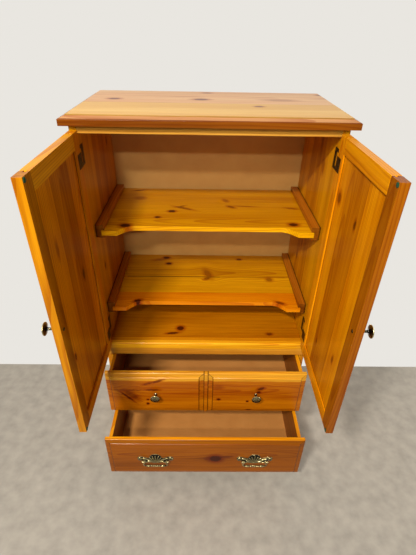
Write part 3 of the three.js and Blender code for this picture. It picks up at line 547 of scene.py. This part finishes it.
# The drawers: moulded pine fronts on boxes of thin pine with hardboard bottoms, and the plain strips
# that carry the boxes. The upper front has a false strip in the middle, as if it were two drawers.
front_knots = {
    "upper": [(-0.2136, 0.3649, 0.0045, 0.004, 0, 0.9), (-0.2151, 0.3422, 0.005, 0.005, 0, 0.9),
              (-0.2874, 0.3805, 0.032, 0.004, -49, 0.75), (-0.272, 0.391, 0.03, 0.011, -45, 0.35),
              (-0.275, 0.4165, 0.075, 0.0025, 0, 0.45), (-0.195, 0.418, 0.024, 0.005, 0, 0.6),
              (-0.172, 0.464, 0.02, 0.005, 24, 0.6), (-0.205, 0.452, 0.02, 0.004, 20, 0.4),
              (0.2, 0.427, 0.013, 0.007, 24, 0.75), (0.043, 0.432, 0.016, 0.008, 0, 0.15),
              (0.193, 0.408, 0.006, 0.005, 0, 0.9), (0.0479, 0.3683, 0.0065, 0.0045, 0, 0.95),
              (0.155, 0.358, 0.004, 0.004, 0, 0.9), (0.163, 0.306, 0.008, 0.004, 0, 0.8)],
    "lower": [(0.038, 0.185, 0.022, 0.018, 0, 0.95), (0.075, 0.196, 0.03, 0.006, 10, 0.35)],
}
front_edge = 0.3595
field_edge = 0.342
field_heights = {"upper": (0.294, 0.48, 0.4975), "lower": (0.086, 0.272, 0.2895)}
# Dark lines at the mouldings' steps and mitres and beside the false strip are painted shade.
field_step_shade = (0.0022, 0.8)
mitre_shade = (0.0014, 0.6)
strip_step_shade = (0.0024, 0.9)
strip_mitre_shade = (0.002, 0.8)
front_lines = {}
for level, (foot, field_top, front_top) in field_heights.items():
    front_lines[level] = []
    for sign in (-1, 1):
        corner = (sign * field_edge, field_top)
        front_lines[level] += [((sign * field_edge, foot), corner, *field_step_shade),
                               (corner, (sign * front_edge, front_top), *mitre_shade)]
strip_edge = 0.00715
strip_band = 0.02465
foot, field_top, front_top = field_heights["upper"]
for sign in (-1, 1):
    band_corner = (sign * strip_band, field_top)
    strip_corner = (sign * strip_edge, front_top)
    front_lines["upper"] += [((sign * strip_band, foot), band_corner, *strip_step_shade),
                             (band_corner, strip_corner, *strip_mitre_shade),
                             ((sign * strip_edge, foot), strip_corner, *strip_step_shade)]
front_boards = {
    "upper": ((("#be7206", "#964800"), ("#dea42c", "#be8014")), (0.465,), 0.01),
    # On the lower front the tones step paler upwards: the upward-sloping band and the top face are painted
    # light.
    "lower": ((("#985400", "#783e00"), ("#aa6800", "#8a4c00"), ("#eca010", "#d08808")), (0.2745, 0.2888),
              0.0006),
}
box_boards = (("#965408", "#6e3402"), ("#e09a10", "#c07806"))
strip_tones = ("#a5621a", "#7a3c08")
# The box sides are painted paler along their top edges: painted light where they face the lamps.
lit_top_edge = 0.003  # the box sides are paler this far down from their top
for level in ("upper", "lower"):
    piece = level + "_drawer_front"
    boards, joints, ragged = front_boards[level]
    wood = pine("varnished_pine_" + piece, piece, "X", "Z", boards, joints=joints, knots=front_knots[level],
                lines=front_lines[level], turn=7.0, ragged=ragged)
    dress(piece, wood, eased=fine_edge)
    box_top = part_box(level + "_drawer_side_left")[1].z
    for part in ("side_left", "side_right"):
        piece = f"{level}_drawer_{part}"
        dress(piece, pine("varnished_pine_" + piece, piece, "Y", "Z", box_boards, joints=(box_top - lit_top_edge,),
                          ragged=0.0006, turn=4.0), eased=fine_edge)
        runner = piece.replace("side", "runner")
        dress(runner, pine("plain_hardwood_" + runner, runner, "Y", "X", (strip_tones,), gloss=0.5))
    piece = level + "_drawer_back"
    dress(piece, pine("varnished_pine_" + piece, piece, "X", "Z", (honey,)))
    piece = level + "_drawer_bottom"
    dress(piece, hardboard(f"bare_hardboard_{level}_bottom", "#cc914d", "#b87c3c"), eased=0)


# The knobs: antique brass, turned with a thin stem and a flat cap with a rounded rim, and chased with
# eight low petals on the dome. One screw holds each from behind.
def aged_brass(name, browned, rubbed):
    """Brass browned in its hollows and rubbed bright on its high spots; the two values place the change."""
    made, tree = blank_material(name)
    place = node(tree, "ShaderNodeTexCoord", out="Object")
    patina = node(tree, "ShaderNodeTexNoise", {"Vector": place, "Scale": 240.0, "Detail": 4.0})  # 4 mm spots
    hollow = node(tree, "ShaderNodeNewGeometry", out="Pointiness")
    worn = node(tree, "ShaderNodeMapRange", {"Value": hollow, "From Min": 0.47, "From Max": 0.56})
    bright = node(tree, "ShaderNodeMath", {0: patina, 1: -0.7, 2: worn}, operation="MULTIPLY_ADD")
    bright = node(tree, "ShaderNodeMapRange", {"Value": bright, "From Min": browned, "From Max": rubbed})
    metal = node(tree, "ShaderNodeMix", {0: bright, 6: colour("#0e0902"), 7: colour("#d0c28c")}, out=2,
                 data_type="RGBA")
    finished(tree, Base_Color=metal, Metallic=1.0, Roughness=0.24, Coat_Weight=0.3, Coat_Roughness=0.08)
    return made


turned_brass = aged_brass("antique_brass_turned", -0.15, 0.7)
cast_brass = aged_brass("antique_brass_cast", 0.15, 0.8)


def add_piece(name, shape, material, body):
    bmesh.ops.recalc_face_normals(shape, faces=shape.faces)
    data = bpy.data.meshes.new(name)
    shape.to_mesh(data)
    shape.free()
    for face in data.polygons:
        face.use_smooth = True
    data.materials.append(material)
    made = bpy.data.objects.new(name, data)
    bpy.context.scene.collection.objects.link(made)
    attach(made, body)
    return made


def lathe(shape, profile, steps=40):
    """Turns a list of (radius, height) about Z and closes it at both poles."""
    rim = [shape.verts.new((radius, 0, height)) for radius, height in profile]
    edges = [shape.edges.new(pair) for pair in zip(rim, rim[1:])]
    bmesh.ops.spin(shape, geom=rim + edges, cent=(0, 0, 0), axis=(0, 0, 1), dvec=(0, 0, 0),
                   angle=2 * math.pi, steps=steps, use_merge=True)
    bmesh.ops.remove_doubles(shape, verts=shape.verts, dist=0.000002)


def facing(outward):
    """The turn that sends Z outward."""
    return outward.to_track_quat("Z", "Y").to_matrix().to_4x4()


# Shares of the knob's radius and length, from the foot to the crown
knob_shares = [(0, 0), (0.34, 0), (0.345, 0.02), (0.33, 0.05), (0.27, 0.08), (0.23, 0.12), (0.205, 0.18),
               (0.2, 0.24), (0.2, 0.42), (0.215, 0.52), (0.26, 0.62), (0.36, 0.66), (0.5, 0.695), (0.7, 0.725),
               (0.86, 0.75), (0.95, 0.765), (0.99, 0.785), (1, 0.81), (0.99, 0.835), (0.95, 0.855), (0.9, 0.86),
               (0.87, 0.865), (0.84, 0.88), (0.78, 0.905), (0.66, 0.935), (0.5, 0.962), (0.38, 0.972),
               (0.33, 0.965), (0.29, 0.972), (0.22, 0.99), (0.1, 0.998), (0, 1)]
cap_share = 0.8
knob_petals = 8
petal_height = 0.0008
petal_sink = 0.6
petal_inner, petal_outer = 0.34, 0.82


def turned_knob(piece, outward, body):
    low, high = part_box(piece)
    middle = (low + high) / 2
    length = abs((high - low).dot(outward))
    radius = (high.z - low.z) / 2
    shape = bmesh.new()
    lathe(shape, [(r * radius, h * length) for r, h in knob_shares], steps=64)
    for vert in shape.verts:
        share = vert.co.xy.length / radius
        if vert.co.z > cap_share * length and petal_inner < share < petal_outer:
            swell = math.sin(math.pi * (share - petal_inner) / (petal_outer - petal_inner))
            turn = math.atan2(vert.co.y, vert.co.x)
            vert.co.z += petal_height * swell * (abs(math.cos(turn * knob_petals / 2)) - petal_sink)
    base = middle - outward * length / 2
    bmesh.ops.transform(shape, matrix=Matrix.Translation(base) @ facing(outward), verts=shape.verts)
    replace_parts(add_piece(piece + "_turned", shape, turned_brass, body), piece)


forward = Vector((0, -1, 0))
for side, outward in (("left", Vector((-1, 0, 0))), ("right", Vector((1, 0, 0)))):
    turned_knob(side + "_door_knob", outward, side + "_door")
    turned_knob("upper_drawer_knob_" + side, forward, "upper_drawer")


# The two pulls of the lower drawer, each a cast plate in relief: a broad ribbed shell in the middle,
# two scrolls and an end button on each side, and a post beside each button that carries the bail.
def oval(shape, place, size, turn=0.0):
    """Adds a rounded boss: half sizes along X, Y and Z, turned about Y."""
    made = bmesh.ops.create_uvsphere(shape, u_segments=16, v_segments=10, radius=1)["verts"]
    spot = Matrix.Translation(place) @ Matrix.Rotation(turn, 4, "Y") @ Matrix.Diagonal((*size, 1))
    bmesh.ops.transform(shape, matrix=spot, verts=made)


def rod(shape, points, radii, segments=12):
    """Sweeps a round section through the points, which lie in a plane of constant Y."""
    before = None
    for i, (point, radius) in enumerate(zip(points, radii)):
        run = Vector(points[min(i + 1, len(points) - 1)]) - Vector(points[max(i - 1, 0)])
        placed = Matrix.Translation(point) @ run.to_track_quat("Z", "Y").to_matrix().to_4x4()
        if before is None:
            ring = bmesh.ops.create_circle(shape, cap_ends=True, segments=segments, radius=1)["verts"]
            bmesh.ops.transform(shape, matrix=placed @ Matrix.Scale(radius, 4), verts=ring)
            edges = list({edge for vert in ring for edge in vert.link_edges})
        else:
            made = bmesh.ops.extrude_edge_only(shape, edges=edges)["geom"]
            ring = [part for part in made if isinstance(part, bmesh.types.BMVert)]
            edges = [part for part in made if isinstance(part, bmesh.types.BMEdge)]
            change = placed @ Matrix.Scale(radius, 4) @ before.inverted()
            bmesh.ops.transform(shape, matrix=change, verts=ring)
        before = placed @ Matrix.Scale(radius, 4)
    bmesh.ops.edgeloop_fill(shape, edges=edges)


def merge_into(shape, part):
    """Moves the part into the shape."""
    held = bpy.data.meshes.new("part")
    part.to_mesh(held)
    part.free()
    shape.from_mesh(held)
    bpy.data.meshes.remove(held)


hinge_places = {joint["child"]: Vector(joint["pos_m"]) for joint in frame["joints"] if joint["type"] == "hinge"}
post_offset = 0.045
# A post's radius at each height: its foot, from the plate, and its ball, from the bail's pin
post_foot = [(0, 0), (0.0056, 0), (0.0056, 0.002), (0.004, 0.0034), (0.0026, 0.0048)]
post_ball = [(0.0026, -0.0044), (0.0036, -0.0034), (0.0045, 0), (0.0036, 0.0028), (0, 0.0042)]
plate_thickness = 0.0016
border_steps = ((0.0012, 0.0009), (0.0014, -0.0011))  # width and rise: up to the raised border and down again
shell_ribs = 9
shell_spread = math.radians(150)
shell_foot = -0.0155
rib_length = 0.019
rib_section = (0.0029, 0.0034)
# How far out from the drawer front the middle of each cast form lies
rib_relief = 0.0028
rim_relief = 0.0034
scroll_relief = 0.003
# Bosses, each a place and half sizes: the shell's heart, then on either side a curl and the end button
shell_heart = ((0, -0.003, -0.0135), (0.008, 0.0038, 0.0055))
side_bosses = (((0.0212, -0.0036, -0.0125), (0.0042, 0.0034, 0.0042)),
               ((0.0568, -0.003, 0.0036), (0.0082, 0.0036, 0.0092)))
# Across, up and radius at each point of the cast lines
shell_rim = ((-0.0195, -0.0095, 0.0013), (-0.014, -0.0137, 0.0017), (-0.0075, -0.0161, 0.0018),
             (0, -0.0168, 0.0018), (0.0075, -0.0161, 0.0018), (0.014, -0.0137, 0.0017),
             (0.0195, -0.0095, 0.0013))
upper_scroll = ((0.0235, 0.002, 0.0018), (0.029, 0.0012, 0.0026), (0.035, 0.004, 0.0027),
                (0.041, 0.0065, 0.0024), (0.047, 0.008, 0.0018))
lower_scroll = ((0.0435, -0.0035, 0.0016), (0.0405, -0.008, 0.0024), (0.0375, -0.013, 0.0029),
                (0.0325, -0.0158, 0.0029), (0.0265, -0.0145, 0.002))
plate_outline = [(0.0, 0.0302), (0.0087, 0.0286), (0.0161, 0.0243), (0.0208, 0.0173), (0.0228, 0.0097),
               (0.0268, 0.0054), (0.0322, 0.0076), (0.0402, 0.0108), (0.0496, 0.014), (0.0583, 0.0151),
               (0.065, 0.0108), (0.067, 0.0032), (0.0637, -0.0043), (0.0563, -0.0081), (0.0469, -0.0076),
               (0.0422, -0.0108), (0.0375, -0.0173), (0.0308, -0.0194), (0.0228, -0.0194), (0.0121, -0.0238),
               (0.0, -0.0254)]
for side in ("left", "right"):
    axis_place = hinge_places[side + "_bail"]
    face_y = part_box(side + "_pull_plate")[1].y
    reach = face_y - axis_place.y
    shape = bmesh.new()
    corners = plate_outline + [(-x, z) for x, z in plate_outline[-2:0:-1]]
    ring = [shape.verts.new((x, 0, z)) for x, z in corners]
    back = shape.faces.new(ring)
    front = bmesh.ops.extrude_face_region(shape, geom=[back])["geom"]
    raised = [part for part in front if isinstance(part, bmesh.types.BMVert)]
    bmesh.ops.translate(shape, vec=(0, -plate_thickness, 0), verts=raised)
    face = next(part for part in front if isinstance(part, bmesh.types.BMFace))
    for width, rise in border_steps:
        bmesh.ops.inset_region(shape, faces=[face], thickness=width, depth=rise, use_even_offset=True)
    for i in range(shell_ribs):
        lean = (i / (shell_ribs - 1) - 0.5) * shell_spread
        out = rib_length * (1.05 - 0.2 * abs(math.sin(lean)))
        place = (math.sin(lean) * out, -rib_relief, shell_foot + math.cos(lean) * out)
        oval(shape, place, (*rib_section, out), lean)
    oval(shape, *shell_heart)
    rod(shape, [(x, -rim_relief, z) for x, z, radius in shell_rim], [radius for x, z, radius in shell_rim])
    for sign in (-1, 1):
        for scroll in (upper_scroll, lower_scroll):
            rod(shape, [(sign * x, -scroll_relief, z) for x, z, radius in scroll],
                [radius for x, z, radius in scroll])
        for (x, y, z), size in side_bosses:
            oval(shape, (sign * x, y, z), size)
        post = bmesh.new()
        lathe(post, post_foot + [(radius, reach + rise) for radius, rise in post_ball], steps=24)
        forwards = Matrix.Rotation(math.radians(90), 4, "X")
        bmesh.ops.transform(post, matrix=Matrix.Translation((sign * post_offset, 0, 0)) @ forwards,
                            verts=post.verts)
        merge_into(shape, post)
    bmesh.ops.translate(shape, vec=(axis_place.x, face_y, axis_place.z), verts=shape.verts)
    cast = add_piece(side + "_pull_plate_cast", shape, cast_brass, "lower_drawer")
    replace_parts(cast, side + "_pull_plate")


# The bails that hang in the posts: a bent brass wire, bowed below its pins, with a turned grip of two
# long swellings either side of five beads.
wire_radius = 0.0023
core_radius = 0.0013
bail_drop = 0.025
arm_x = 0.0382
core_share = 0.8  # the wire is thin within this share of arm_x, inside the grip
# Shares of arm_x and of the drop, from the pin down to the middle of the grip
arm_shares = [(1.32, 0), (1.03, 0), (1, -0.12), (1.03, -0.3), (1.12, -0.48), (1.15, -0.64), (1.12, -0.8),
              (1.03, -0.93), (0.9, -1), (0.4, -1), (0, -1)]
grip_half = 0.0355
grip_radius = 0.0043
# Shares of the grip's radius and half length, from one end to the middle
grip_shares = [(0.44, -1), (0.66, -0.95), (0.9, -0.86), (1, -0.76), (0.95, -0.65), (0.7, -0.54), (0.34, -0.5),
               (0.34, -0.48), (0.78, -0.45), (0.94, -0.4), (0.78, -0.35), (0.34, -0.31), (0.34, -0.29),
               (0.8, -0.25), (0.96, -0.2), (0.8, -0.15), (0.34, -0.11), (0.34, -0.09), (0.84, -0.06), (1, 0)]
for side in ("left", "right"):
    shape = bmesh.new()
    half_arm = [(x * arm_x, 0, z * bail_drop) for x, z in arm_shares]
    path = half_arm + [(-x, y, z) for x, y, z in half_arm[-2::-1]]
    radii = [wire_radius if abs(x) > core_share * arm_x else core_radius for x, y, z in path]
    rod(shape, path, radii, segments=14)
    profile = [(0, -grip_half)] + [(r * grip_radius, x * grip_half) for r, x in grip_shares]
    profile += [(r, -x) for r, x in profile[-2::-1]]
    grip = bmesh.new()
    lathe(grip, profile, steps=24)
    sideways = Matrix.Rotation(math.radians(90), 4, "Y")
    bmesh.ops.transform(grip, matrix=Matrix.Translation((0, 0, -bail_drop)) @ sideways, verts=grip.verts)
    merge_into(shape, grip)
    bmesh.ops.translate(shape, vec=hinge_places[side + "_bail"], verts=shape.verts)
    turned = add_piece(side + "_pull_bail_turned", shape, cast_brass, side + "_bail")
    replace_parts(turned, side + "_pull_bail")


# The small fasteners: a pan-headed steel screw inside each door that holds its knob, and countersunk
# screws in the leaves of the hinges, finished in the hinges' bronze.
head_shares = ((0, 0), (1, 0), (0.96, 0.5), (0.7, 0.9), (0, 1))


def screw_head(name, place, outward, radius, rise, body):
    shape = bmesh.new()
    lathe(shape, [(r * radius, h * rise) for r, h in head_shares], steps=24)
    bmesh.ops.transform(shape, matrix=Matrix.Translation(place) @ facing(outward), verts=shape.verts)
    add_piece(name, shape, bronze, body)


knob_screw_radius = 0.0048
knob_screw_rise = 0.0018
hinge_screw_radius = 0.003
hinge_screw_rise = 0.0006
leaf_screw_shares = ((0.35, 0.2), (0.35, 0.8), (0.2, 0.5))
bar_screw_shares = (0.12, 0.88)
bar_screw_inset = 0.008
for side, sign in (("left", 1), ("right", -1)):
    inward = Vector((sign, 0, 0))
    stile_low, stile_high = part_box(side + "_door_free_stile")
    inner_x = stile_high.x if sign > 0 else stile_low.x
    knob_low, knob_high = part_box(side + "_door_knob")
    spot = Vector((inner_x, (knob_low.y + knob_high.y) / 2, (knob_low.z + knob_high.z) / 2))
    screw_head(side + "_knob_screw", spot, inward, knob_screw_radius, knob_screw_rise, side + "_door")
    for level in ("upper", "lower"):
        leaf_low, leaf_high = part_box(f"{side}_{level}_hinge_door_leaf")
        leaf_x = leaf_high.x if sign > 0 else leaf_low.x
        for i, (y_share, z_share) in enumerate(leaf_screw_shares):
            spot = Vector((leaf_x, leaf_low.y + y_share * (leaf_high.y - leaf_low.y),
                           leaf_low.z + z_share * (leaf_high.z - leaf_low.z)))
            screw_head(f"{side}_{level}_hinge_screw_{i + 1}", spot, inward, hinge_screw_radius,
                       hinge_screw_rise, side + "_door")
        bar_low, bar_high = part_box(f"{side}_{level}_hinge_frame_leaf")
        bar_x = bar_high.x if sign > 0 else bar_low.x
        for i, z_share in enumerate(bar_screw_shares):
            spot = Vector((bar_x, bar_high.y - bar_screw_inset, bar_low.z + z_share * (bar_high.z - bar_low.z)))
            screw_head(f"{side}_{level}_bar_screw_{i + 1}", spot, inward, hinge_screw_radius,
                       hinge_screw_rise, "cabinet")


# The bumpers: small dots of green wool felt, punched from sheet and stuck at the free corners of the
# doors' backs, which quiet the closing.
felt, tree = blank_material("green_felt")
place = node(tree, "ShaderNodeTexCoord", out="Object")
nap = node(tree, "ShaderNodeTexNoise", {"Vector": place, "Scale": 1500.0, "Detail": 3.0})  # 0.7 mm tufts
wool = node(tree, "ShaderNodeMix", {0: nap, 6: colour("#00301e"), 7: colour("#044a30")}, out=2,
            data_type="RGBA")
nap_height = 0.0003
pile = node(tree, "ShaderNodeBump", {"Strength": 0.6, "Distance": nap_height, "Height": nap})
finished(tree, Base_Color=wool, Roughness=0.95, Normal=pile)
bumper_radius = 0.0055
bumper_thickness = 0.0013
bumper_inset = 0.0068
bumper_shares = ((0, 0), (1, 0), (1, 0.7), (0.92, 1), (0, 1))
for side, sign in (("left", 1), ("right", -1)):
    stile_low, stile_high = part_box(side + "_door_free_stile")
    inner_x = stile_high.x if sign > 0 else stile_low.x
    for level, z in (("lower", stile_low.z + bumper_inset), ("upper", stile_high.z - bumper_inset)):
        shape = bmesh.new()
        lathe(shape, [(r * bumper_radius, h * bumper_thickness) for r, h in bumper_shares], steps=28)
        spot = Matrix.Translation((inner_x, stile_low.y + bumper_inset, z))
        bmesh.ops.transform(shape, matrix=spot @ facing(Vector((sign, 0, 0))), verts=shape.verts)
        add_piece(f"{side}_{level}_bumper", shape, felt, side + "_door")
